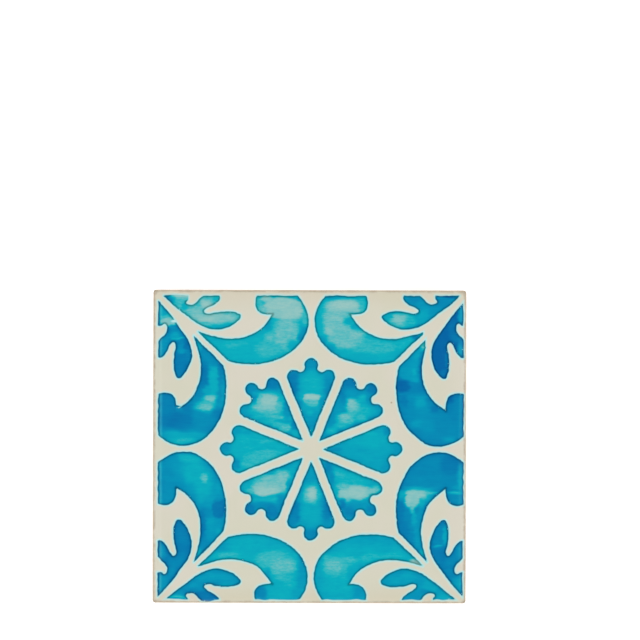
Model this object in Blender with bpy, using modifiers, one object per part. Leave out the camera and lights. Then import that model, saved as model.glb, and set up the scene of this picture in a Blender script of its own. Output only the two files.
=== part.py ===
"""Azulejo wall tile: one square of clay, pressed with a keyed back, glazed on its face and fired.

Metres, +Z up. The tile lies on its back with the glazed face up. The origin is the centre of the back,
and +Y points to the top of the decoration.
"""

import math

import bmesh
import bpy
from mathutils import Matrix

# Driving dimensions of the tile
SIDE = 0.140
THICKNESS = 0.008
CORNER_RADIUS = 0.0010
CORNER_SEGMENTS = 4
BACK_CHAMFER = 0.0008

# Rim of the glazed face: a shallow cushion that turns into a tight arris above the wall
CUSHION_WIDTH = 0.0050
CUSHION_RADIUS = 0.0140
CUSHION_STEPS = 6
ARRIS_RADIUS = 0.0009
ARRIS_STEPS = 5

# Keying recesses pressed into the back, between ribs that the tile rests on
CELLS_PER_SIDE = 8
CELL_PITCH = 0.0150
CELL_WIDTH = 0.0120
CELL_DEPTH = 0.0007
CELL_DRAFT = 0.0005
CUTTER_OVERRUN = 0.0010

# Finishes
GLAZE_COLOUR = (0.69, 0.63, 0.53, 1.0)
GLAZE_ROUGHNESS = 0.12
BISCUIT_COLOUR = (0.62, 0.44, 0.30, 1.0)
BISCUIT_ROUGHNESS = 0.85
SHARP_ANGLE = math.radians(30)


def clear_scene():
    for obj in list(bpy.data.objects):
        bpy.data.objects.remove(obj, do_unlink=True)


def make_collection(name):
    collection = bpy.data.collections.new(name)
    bpy.context.scene.collection.children.link(collection)
    return collection


def make_material(name, colour, roughness):
    material = bpy.data.materials.new(name)
    material.use_nodes = True
    shader = material.node_tree.nodes["Principled BSDF"]
    shader.inputs["Base Color"].default_value = colour
    shader.inputs["Roughness"].default_value = roughness
    shader.inputs["Metallic"].default_value = 0.0
    return material


def rim_angle():
    """Tilt of the surface where the cushion arc runs into the arris arc, both being tangent there."""
    return math.asin((CUSHION_WIDTH - ARRIS_RADIUS) / (CUSHION_RADIUS - ARRIS_RADIUS))


def rim_height():
    """Height of the whole rim, from the top of the wall to the flat face."""
    tilt = rim_angle()
    return ARRIS_RADIUS * math.cos(tilt) + CUSHION_RADIUS * (1 - math.cos(tilt))


def edge_profile():
    """Inset from the outer side and height of each ring of the tile, from the back up to the flat face."""
    tilt = rim_angle()
    wall_top = THICKNESS - rim_height()
    rings = [(BACK_CHAMFER, 0.0), (0.0, BACK_CHAMFER), (0.0, wall_top)]
    for step in range(1, ARRIS_STEPS + 1):
        turn = math.pi / 2 + (tilt - math.pi / 2) * step / ARRIS_STEPS
        inset = ARRIS_RADIUS * (1 - math.sin(turn))
        rings.append((inset, wall_top + ARRIS_RADIUS * math.cos(turn)))
    for step in range(1, CUSHION_STEPS + 1):
        turn = tilt * (1 - step / CUSHION_STEPS)
        inset = CUSHION_WIDTH - CUSHION_RADIUS * math.sin(turn)
        rings.append((inset, THICKNESS - CUSHION_RADIUS * (1 - math.cos(turn))))
    return rings


def press_body(bm):
    """A rounded square, extruded up through the rings of the edge profile and scaled to each one's inset."""
    rings = edge_profile()
    half = SIDE / 2 - rings[0][0]
    bmesh.ops.create_grid(bm, x_segments=1, y_segments=1, size=half)
    bmesh.ops.bevel(
        bm,
        geom=bm.verts[:],
        offset=CORNER_RADIUS,
        segments=CORNER_SEGMENTS,
        profile=0.5,
        affect="VERTICES",
    )
    face, height = bm.faces[:][0], 0.0
    for inset, z in rings[1:]:
        raised = bmesh.ops.extrude_face_region(bm, geom=[face, *face.edges])["geom"]
        face = next(item for item in raised if isinstance(item, bmesh.types.BMFace))
        wanted = SIDE / 2 - inset
        scale = wanted / half
        bmesh.ops.scale(bm, vec=(scale, scale, 1.0), verts=face.verts)
        bmesh.ops.translate(bm, vec=(0.0, 0.0, z - height), verts=face.verts)
        half, height = wanted, z
    bmesh.ops.recalc_face_normals(bm, faces=bm.faces)


def paint_faces(mesh):
    """Glaze on the face and down over the rim, bare biscuit on the wall and the back."""
    wall_top = THICKNESS - rim_height()
    for polygon in mesh.polygons:
        polygon.material_index = 0 if polygon.center.z > wall_top else 1


def make_tile(collection):
    bm = bmesh.new()
    press_body(bm)
    mesh = bpy.data.meshes.new("tile")
    bm.to_mesh(mesh)
    bm.free()
    mesh.materials.append(make_material("glaze", GLAZE_COLOUR, GLAZE_ROUGHNESS))
    mesh.materials.append(make_material("biscuit", BISCUIT_COLOUR, BISCUIT_ROUGHNESS))
    paint_faces(mesh)
    mesh.shade_smooth()
    mesh.set_sharp_from_angle(angle=SHARP_ANGLE)
    tile = bpy.data.objects.new("tile", mesh)
    collection.objects.link(tile)
    return tile


def make_cell_cutter(collection):
    """One tapered square plug for each keying recess, standing through the back of the tile."""
    widening = CELL_DRAFT * CUTTER_OVERRUN / CELL_DEPTH
    depth = CELL_DEPTH + CUTTER_OVERRUN
    bm = bmesh.new()
    bmesh.ops.create_cone(
        bm,
        cap_ends=True,
        segments=4,
        radius1=math.sqrt(2) * (CELL_WIDTH / 2 + widening),
        radius2=math.sqrt(2) * (CELL_WIDTH / 2 - CELL_DRAFT),
        depth=depth,
    )
    bmesh.ops.rotate(bm, verts=bm.verts, cent=(0, 0, 0), matrix=Matrix.Rotation(math.pi / 4, 3, "Z"))
    mesh = bpy.data.meshes.new("cell_cutter")
    bm.to_mesh(mesh)
    bm.free()
    cutter = bpy.data.objects.new("cell_cutter", mesh)
    collection.objects.link(cutter)
    first = -CELL_PITCH * (CELLS_PER_SIDE - 1) / 2
    cutter.location = (first, first, depth / 2 - CUTTER_OVERRUN)
    for name, step in (("columns", (CELL_PITCH, 0, 0)), ("rows", (0, CELL_PITCH, 0))):
        array = cutter.modifiers.new(name, "ARRAY")
        array.count = CELLS_PER_SIDE
        array.use_relative_offset = False
        array.use_constant_offset = True
        array.constant_offset_displace = step
    cutter.hide_render = True
    cutter.display_type = "WIRE"
    return cutter


def press_cells(tile, cutter):
    press = tile.modifiers.new("keying recesses", "BOOLEAN")
    press.operation = "DIFFERENCE"
    press.object = cutter


def main():
    clear_scene()
    tile = make_tile(make_collection("azulejo tile"))
    cutter = make_cell_cutter(make_collection("cutters"))
    press_cells(tile, cutter)


main()
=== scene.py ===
import math

import bpy
import numpy as np
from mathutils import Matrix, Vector


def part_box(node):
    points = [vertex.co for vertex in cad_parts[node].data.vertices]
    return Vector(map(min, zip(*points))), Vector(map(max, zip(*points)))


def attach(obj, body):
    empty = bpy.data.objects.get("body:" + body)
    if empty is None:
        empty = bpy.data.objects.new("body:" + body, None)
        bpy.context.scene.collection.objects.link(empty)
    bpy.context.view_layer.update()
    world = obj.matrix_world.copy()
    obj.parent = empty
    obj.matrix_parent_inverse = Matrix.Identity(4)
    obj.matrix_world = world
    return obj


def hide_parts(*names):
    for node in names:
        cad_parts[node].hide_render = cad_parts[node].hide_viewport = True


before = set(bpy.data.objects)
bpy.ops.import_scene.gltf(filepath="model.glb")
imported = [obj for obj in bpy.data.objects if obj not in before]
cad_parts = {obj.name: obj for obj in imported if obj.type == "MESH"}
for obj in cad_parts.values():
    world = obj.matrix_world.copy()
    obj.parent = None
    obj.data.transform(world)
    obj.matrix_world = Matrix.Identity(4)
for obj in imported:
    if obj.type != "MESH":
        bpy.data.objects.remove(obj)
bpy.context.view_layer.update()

# The camera looks straight down on the glazed face, through a long lens. It stands over the tile, near
# its upper side, where the middle of the picture is, so no wall of the tile shows. The tile lies turned
# by a hair.
MM = 0.001
low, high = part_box("tile")
SIDE = high.x - low.x
HALF = SIDE / 2
FACE_HEIGHT = high.z
SIDES_ACROSS_PICTURE = 2.0412
PICTURE_WIDTH = SIDES_ACROSS_PICTURE * SIDE
PICTURE_MIDDLE = Vector((4.55 * MM, 56.62 * MM, FACE_HEIGHT))
TURN_SEEN = math.radians(0.16)

lens = bpy.data.cameras.new("camera")
lens.lens = 100
lens.sensor_width = 36
lens.clip_start = 0.05
lens.clip_end = 20
camera = bpy.data.objects.new("camera", lens)
camera_height = PICTURE_WIDTH * lens.lens / lens.sensor_width
camera.location = PICTURE_MIDDLE + Vector((0, 0, camera_height))
camera.rotation_euler = (0, 0, TURN_SEEN)
bpy.context.scene.collection.objects.link(camera)
bpy.context.scene.camera = camera
bpy.context.scene.view_settings.view_transform = "Standard"

# The glazed face of the tile: pressed clay with a shallow cushion at the rim, which turns into a tight
# arris above the walls. It is modelled as one fine grid, so that it can carry the paint's relief and the
# glaze's waves.
CUSHION_WIDTH = 5.0 * MM
CUSHION_RADIUS = 14.0 * MM
ARRIS_RADIUS = 0.9 * MM
ARRIS_CELLS = 6
CORNER_RADIUS = 1.3 * MM
CORNER_SHARPNESS = 6
CELLS = 252
ARRIS_CROWDING = 1.6
RIM_TILT = math.asin((CUSHION_WIDTH - ARRIS_RADIUS) / (CUSHION_RADIUS - ARRIS_RADIUS))
RIM_FALL = ARRIS_RADIUS * math.cos(RIM_TILT) + CUSHION_RADIUS * (1 - math.cos(RIM_TILT))
ARRIS_WIDTH = ARRIS_RADIUS * (1 - math.sin(RIM_TILT))


def places_of(mesh):
    places = np.empty(len(mesh.vertices) * 3)
    mesh.vertices.foreach_get("co", places)
    return places.reshape(-1, 3)


def move_to(mesh, places):
    mesh.vertices.foreach_set("co", places.ravel())
    mesh.update()


def line_position(cell):
    """Distance from the middle of the tile to a grid line, counted in cells from the middle."""
    even = np.linspace(0, HALF - ARRIS_WIDTH, CELLS // 2 - ARRIS_CELLS + 1)
    arris = HALF - ARRIS_WIDTH * np.linspace(1, 0, ARRIS_CELLS + 1)[1:] ** ARRIS_CROWDING
    return np.sign(cell) * np.concatenate([even, arris])[np.abs(cell).astype(int)]


def from_side(places):
    """How far each place lies in from the nearest side, with the mitre at the corners rounded off."""
    over = np.maximum(CUSHION_WIDTH - (HALF - np.abs(places[:, :2])), 0)
    nearest = HALF - np.abs(places[:, :2]).max(axis=1)
    rounded = CUSHION_WIDTH - (over**CORNER_SHARPNESS).sum(axis=1) ** (1 / CORNER_SHARPNESS)
    return np.where(nearest < CUSHION_WIDTH, np.maximum(rounded, 0), nearest)


def rim_fall(inset):
    """How far the face lies below its flat middle, at this distance from the side."""
    cushion = np.clip((CUSHION_WIDTH - inset) / CUSHION_RADIUS, 0, math.sin(RIM_TILT))
    arris = np.clip((ARRIS_RADIUS - inset) / ARRIS_RADIUS, 0, 1)
    on_cushion = CUSHION_RADIUS * (1 - np.sqrt(1 - cushion**2))
    on_arris = RIM_FALL - ARRIS_RADIUS * np.sqrt(1 - arris**2)
    return np.where(inset > ARRIS_WIDTH, on_cushion, on_arris)


def round_corners(places):
    """Draws the grid's square corners in onto a quarter circle."""
    centre = HALF - CORNER_RADIUS
    beyond = np.maximum(np.abs(places[:, :2]) - centre, 0)
    in_corner = (beyond > 0).all(axis=1)
    reach = np.hypot(*beyond.T)
    shrink = np.where(in_corner, beyond.max(axis=1) / np.maximum(reach, 1e-9), 1)
    drawn_in = np.sign(places[:, :2]) * (centre + beyond * shrink[:, None])
    places[:, :2] = np.where(in_corner[:, None], drawn_in, places[:, :2])


bpy.ops.object.select_all(action="DESELECT")
bpy.ops.mesh.primitive_grid_add(x_subdivisions=CELLS, y_subdivisions=CELLS, size=CELLS)
tile = bpy.context.object
tile.name = tile.data.name = "glazed_tile"
face = places_of(tile.data)
face[:, :2] = line_position(np.rint(face[:, :2]))
inset = from_side(face)
round_corners(face)
face[:, 2] = FACE_HEIGHT - rim_fall(inset)
move_to(tile.data, face)

# The painted pattern: a rosette of eight petals, eight scrolls and eight leaves, laid down through a
# stencil. Each kind is drawn once, in millimetres from the rosette's middle, and symmetry repeats it. A petal
# is drawn as its right half. The petals on the diagonals are a little wider than the others.
ROSETTE_MIDDLE = np.array((0.74, -1.08))
PATTERN_SCALE = 0.996
CORNER, ROUND = "VECTOR", "AUTO"
CURVE_STEPS = 10
BATCHES = 16
SCROLL = [
    (-50.6, 52.5, CORNER), (-43.4, 50.35, ROUND), (-34.5, 49.45, ROUND), (-26.7, 51.3, ROUND),
    (-21.4, 55.0, ROUND), (-17.2, 60.5, CORNER), (-20.6, 60.7, ROUND), (-23.7, 61.9, ROUND),
    (-25.0, 64.6, ROUND), (-24.7, 68.0, CORNER), (-24.3, 68.7, CORNER), (-6.3, 68.7, CORNER),
    (-4.65, 66.6, ROUND), (-2.1, 61.6, ROUND), (-1.45, 56.6, ROUND), (-3.15, 50.5, ROUND),
    (-7.85, 44.7, ROUND), (-11.1, 42.3, ROUND), (-15.0, 40.25, ROUND), (-25.0, 38.25, ROUND),
    (-34.0, 38.7, ROUND), (-37.2, 39.5, CORNER),
]
LEAF = [
    (-66.3, 68.7, CORNER), (-55.4, 68.7, CORNER), (-55.4, 67.2, ROUND), (-56.2, 65.6, ROUND),
    (-54.0, 64.5, ROUND), (-51.8, 65.2, ROUND), (-49.6, 67.5, ROUND), (-48.2, 68.7, CORNER),
    (-41.3, 68.7, CORNER), (-41.1, 67.7, ROUND), (-43.1, 65.25, ROUND), (-46.8, 63.15, ROUND),
    (-47.95, 61.8, ROUND), (-47.1, 60.7, ROUND), (-42.0, 61.3, ROUND), (-37.0, 61.6, ROUND),
    (-33.4, 60.9, ROUND), (-31.7, 59.6, ROUND), (-33.4, 57.25, ROUND), (-37.5, 54.8, ROUND),
    (-42.6, 53.7, ROUND), (-48.2, 55.05, ROUND), (-55.2, 59.7, ROUND), (-60.4, 63.5, ROUND),
]
PETAL_SIDE = [
    (0.0, 5.9, CORNER), (9.85, 30.1, CORNER), (10.5, 32.6, ROUND), (9.3, 34.9, ROUND), (7.2, 35.4, ROUND),
    (4.6, 34.5, ROUND), (2.75, 35.8, ROUND), (2.85, 38.3, ROUND), (1.8, 40.0, ROUND), (0.0, 40.7, ROUND),
]
DIAGONAL_PETAL_SIDE = [
    (0.0, 5.6, CORNER), (10.3, 29.9, CORNER), (11.1, 32.4, ROUND), (10.1, 35.0, ROUND), (7.7, 35.4, ROUND),
    (4.7, 33.85, ROUND), (2.5, 35.5, ROUND), (2.7, 38.1, ROUND), (1.8, 39.8, ROUND), (0.0, 40.5, ROUND),
]
# The stencil was laid down by hand. The paint ran a hair out under it, and it slipped in places: a slip
# is its place, then how far the paint moved there. A missed spot is its place, half width and half
# height. Two scrolls end bluntly at the top right, and paint slopped over the notch at the left.
RUN_OUT = 0.04
PETAL_RUN_OUT = 0.12
HAND_WOBBLE = 0.08
HAND_WOBBLE_LENGTH = 14
FINE_WOBBLE = 0.05
FINE_WOBBLE_LENGTH = 2.6
STENCIL_SLIPS = (
    (57, 57, 0.62, 0.50), (-50, 60, -0.28, -0.12), (54, -57, -0.58, 0.36), (46, -24, 0.05, -0.7),
    (22, -52, -0.55, -0.26), (20, -20, -0.3, -0.25), (-2, 30, -0.2, -0.1), (-62, -50, 0.25, -0.15),
    (-50, -10, 0.1, 0.2), (34, 0, 0.0, 0.2),
)
SLIP_REACH = 13
MISSED = ((-59.3, 18.4, 0.9, 0.4), (-61.7, 57.2, 1.9, 0.8))
TIP_START = 46
LOWER_TIP_END = 50.95
UPPER_TIP_END = 49.95
SLOP_MIDDLE = -58.5
SLOP_HALF_WIDTH = 3.5
SLOP_BOTTOM = 15.5
SLOP_TOP = 19.3
SLOP_WOBBLE = 0.25
SLOP_WOBBLE_LENGTH = 3
# The paint stops short of each side of the tile by this much, and pools into a dark outline at the left,
# right and top. It was wiped along the bottom and at the left end of the top, so that it fades out there.
# It reaches further beside the scrolls at the right and at one drip, and less far at the bottom corners.
CLEAR_LEFT = 2.4
CLEAR_RIGHT = 1.55
CLEAR_TOP = 2.42
CLEAR_BOTTOM = 1.8
EDGE_WOBBLE = 0.12
EDGE_WOBBLE_LENGTH = 6
BULGE = 0.34
BULGE_MIDDLE = 8
BULGE_REACH = 41
DRIP = 0.9
DRIP_MIDDLE = -47
DRIP_REACH = 4
SHORTFALL = 0.3
SHORTFALL_FROM = 54
SHORTFALL_FADE = 8
WIPED_OUT = 0.4
WIPED_FROM = 40
WIPED_FADE = 4
WIPED_LEAF_MIDDLE = -57.5
WIPED_LEAF_REACH = 4.2
WIPED_LEAF_FROM = 66.8
WIPED_LEAF_FADE = 1.2
NO_POOL = 9
RIGHT_POOL_NARROWING = 1.5
TOP_POOL_NARROWING = 2


def wander(x, y, length, seed, waves=7):
    """A smooth uneven field of about one unit, that rises and falls over this length."""
    draw = np.random.default_rng(seed)
    total = 0
    headings = draw.uniform(0, math.tau, waves)
    phases = draw.uniform(0, math.tau, waves)
    stretches = draw.uniform(0.6, 1.6, waves)
    for heading, phase, stretch in zip(headings, phases, stretches):
        run = x * math.cos(heading) + y * math.sin(heading)
        total = total + np.sin(run * math.tau * stretch / length + phase)
    return total * math.sqrt(2 / waves)


def ridge(values, middle, reach, squareness=2):
    """One at the middle, and next to nothing beyond the reach."""
    return np.exp(-((values - middle) / reach) ** squareness)


def rise(values, start, width):
    """Nothing up to the start, and one from there on, over this width."""
    return np.clip((values - start) / width, 0, 1)


def drawn(points):
    """The outline as a closed run of short straight steps."""
    curve = bpy.data.curves.new("stencil", "CURVE")
    curve.dimensions = "2D"
    curve.fill_mode = "NONE"
    curve.resolution_u = CURVE_STEPS
    spline = curve.splines.new("BEZIER")
    spline.bezier_points.add(len(points) - 1)
    spline.use_cyclic_u = True
    for point, (x, y, bend) in zip(spline.bezier_points, points):
        point.co = (x, y, 0)
        point.handle_left_type = point.handle_right_type = bend
    stencil = bpy.data.objects.new("stencil", curve)
    bpy.context.scene.collection.objects.link(stencil)
    bpy.ops.object.select_all(action="DESELECT")
    stencil.select_set(True)
    bpy.context.view_layer.objects.active = stencil
    bpy.ops.object.convert(target="MESH")
    steps = places_of(stencil.data)[:, :2]
    bpy.data.meshes.remove(stencil.data)
    return steps


def mirrored(side):
    return side + [(-x, y, bend) for x, y, bend in side[-2:0:-1]]


def turned(steps, degrees):
    turn = math.radians(degrees)
    return steps @ np.array(((math.cos(turn), math.sin(turn)), (-math.sin(turn), math.cos(turn))))


def depth_inside(points, steps):
    """Distance from each point to the outline, positive inside it and negative outside."""
    start, end = steps, np.roll(steps, -1, axis=0)
    edge = end - start
    depths = []
    for some in np.array_split(points, BATCHES):
        reach = some[:, None] - start
        along = np.clip((reach * edge).sum(axis=2) / np.maximum((edge**2).sum(axis=1), 1e-12), 0, 1)
        gap = np.linalg.norm(reach - along[..., None] * edge, axis=2).min(axis=1)
        x, y = some[:, :1], some[:, 1:]
        spans = (start[:, 1] > y) != (end[:, 1] > y)
        climb = np.where(edge[:, 1] == 0, 1, edge[:, 1])
        left_of = x < start[:, 0] + edge[:, 0] * (y - start[:, 1]) / climb
        inside = (spans & left_of).sum(axis=1) % 2 == 1
        depths.append(np.where(inside, gap, -gap))
    return np.concatenate(depths)


pattern = (face[:, :2] / MM - ROSETTE_MIDDLE) / PATTERN_SCALE
shifted = pattern.copy()
for x, y, shift_x, shift_y in STENCIL_SLIPS:
    near = np.exp(-((pattern[:, 0] - x) ** 2 + (pattern[:, 1] - y) ** 2) / SLIP_REACH**2)
    shifted -= near[:, None] * (shift_x, shift_y)
shaken = shifted + np.column_stack([
    HAND_WOBBLE * wander(*pattern.T, HAND_WOBBLE_LENGTH, seed=seed)
    + FINE_WOBBLE * wander(*pattern.T, FINE_WOBBLE_LENGTH, seed=seed + 10)
    for seed in (3, 4)
])
shaken_x, shaken_y = shaken.T
across, up = np.sort(np.abs(shaken), axis=1).T
folded = np.column_stack([-across, up])
depths = np.column_stack([
    depth_inside(folded, drawn(SCROLL)) + RUN_OUT,
    depth_inside(folded, drawn(LEAF)) + RUN_OUT,
    depth_inside(folded, drawn(mirrored(PETAL_SIDE))) + PETAL_RUN_OUT,
    depth_inside(folded, turned(drawn(mirrored(DIAGONAL_PETAL_SIDE)), 45)) + PETAL_RUN_OUT,
])
kind = depths.argmax(axis=1)
for nearer, farther, tip_end in ((shaken_y, shaken_x, LOWER_TIP_END), (shaken_x, shaken_y, UPPER_TIP_END)):
    at_tip = (nearer > TIP_START) & (nearer < farther)
    depths[at_tip, 0] = np.minimum(depths[at_tip, 0], tip_end - pattern[at_tip, 0])

pattern_x, pattern_y = pattern.T
slop_top = SLOP_TOP + SLOP_WOBBLE * wander(pattern_x, pattern_y, SLOP_WOBBLE_LENGTH, seed=6)
slop_side = SLOP_HALF_WIDTH - np.abs(pattern_x - SLOP_MIDDLE)
slopped = np.minimum.reduce([slop_top - pattern_y, pattern_y - SLOP_BOTTOM, slop_side])
inside = np.maximum(depths.max(axis=1), slopped)
covered = inside
for x, y, half_width, half_height in MISSED:
    ring = np.hypot((pattern_x - x) / half_width, (pattern_y - y) / half_height)
    covered = np.minimum(covered, (ring - 1) * half_height)

to_left, to_bottom = (HALF / MM + face[:, :2] / MM).T
to_right, to_top = (HALF / MM - face[:, :2] / MM).T
unsteady = EDGE_WOBBLE * wander(pattern_x, pattern_y, EDGE_WOBBLE_LENGTH, seed=5)
bulge = BULGE * ridge(pattern_y, BULGE_MIDDLE, BULGE_REACH, 4)
drip = DRIP * ridge(pattern_x, DRIP_MIDDLE, DRIP_REACH)
shortfall = SHORTFALL * rise(np.abs(pattern_x), SHORTFALL_FROM, SHORTFALL_FADE)
wiped = rise(-pattern_x, WIPED_FROM, WIPED_FADE)
wiped_leaf = ridge(pattern_x, WIPED_LEAF_MIDDLE, WIPED_LEAF_REACH, 4)
wiped_leaf = wiped_leaf * rise(pattern_y, WIPED_LEAF_FROM, WIPED_LEAF_FADE)
from_left = to_left - CLEAR_LEFT + unsteady
from_right = to_right - CLEAR_RIGHT + unsteady + bulge
from_top = to_top - CLEAR_TOP + unsteady + WIPED_OUT * wiped
from_bottom = to_bottom - CLEAR_BOTTOM + unsteady + drip - shortfall
pool_depth = np.minimum.reduce([
    inside + NO_POOL * wiped_leaf,
    from_left,
    RIGHT_POOL_NARROWING * from_right,
    TOP_POOL_NARROWING * from_top + NO_POOL * wiped,
])
paint_depth = np.minimum.reduce([covered, from_left, from_right, from_top, from_bottom])

# The washes: each motif is flooded with one shade, which pools darker along its outline, and is then
# worked over with side-to-side strokes of a flat brush. On a line along the left and right sides, where
# the cushion bends down under the strip lights, the paint is made lighter: a painted highlight.
SECTORS = ("right_top", "top_right", "top_left", "left_top", "left_bottom", "bottom_left", "bottom_right",
           "right_bottom")
COMPASS = ("east", "north_east", "north", "north_west", "west", "south_west", "south", "south_east")
SECTOR_WIDTH = 45
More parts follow.
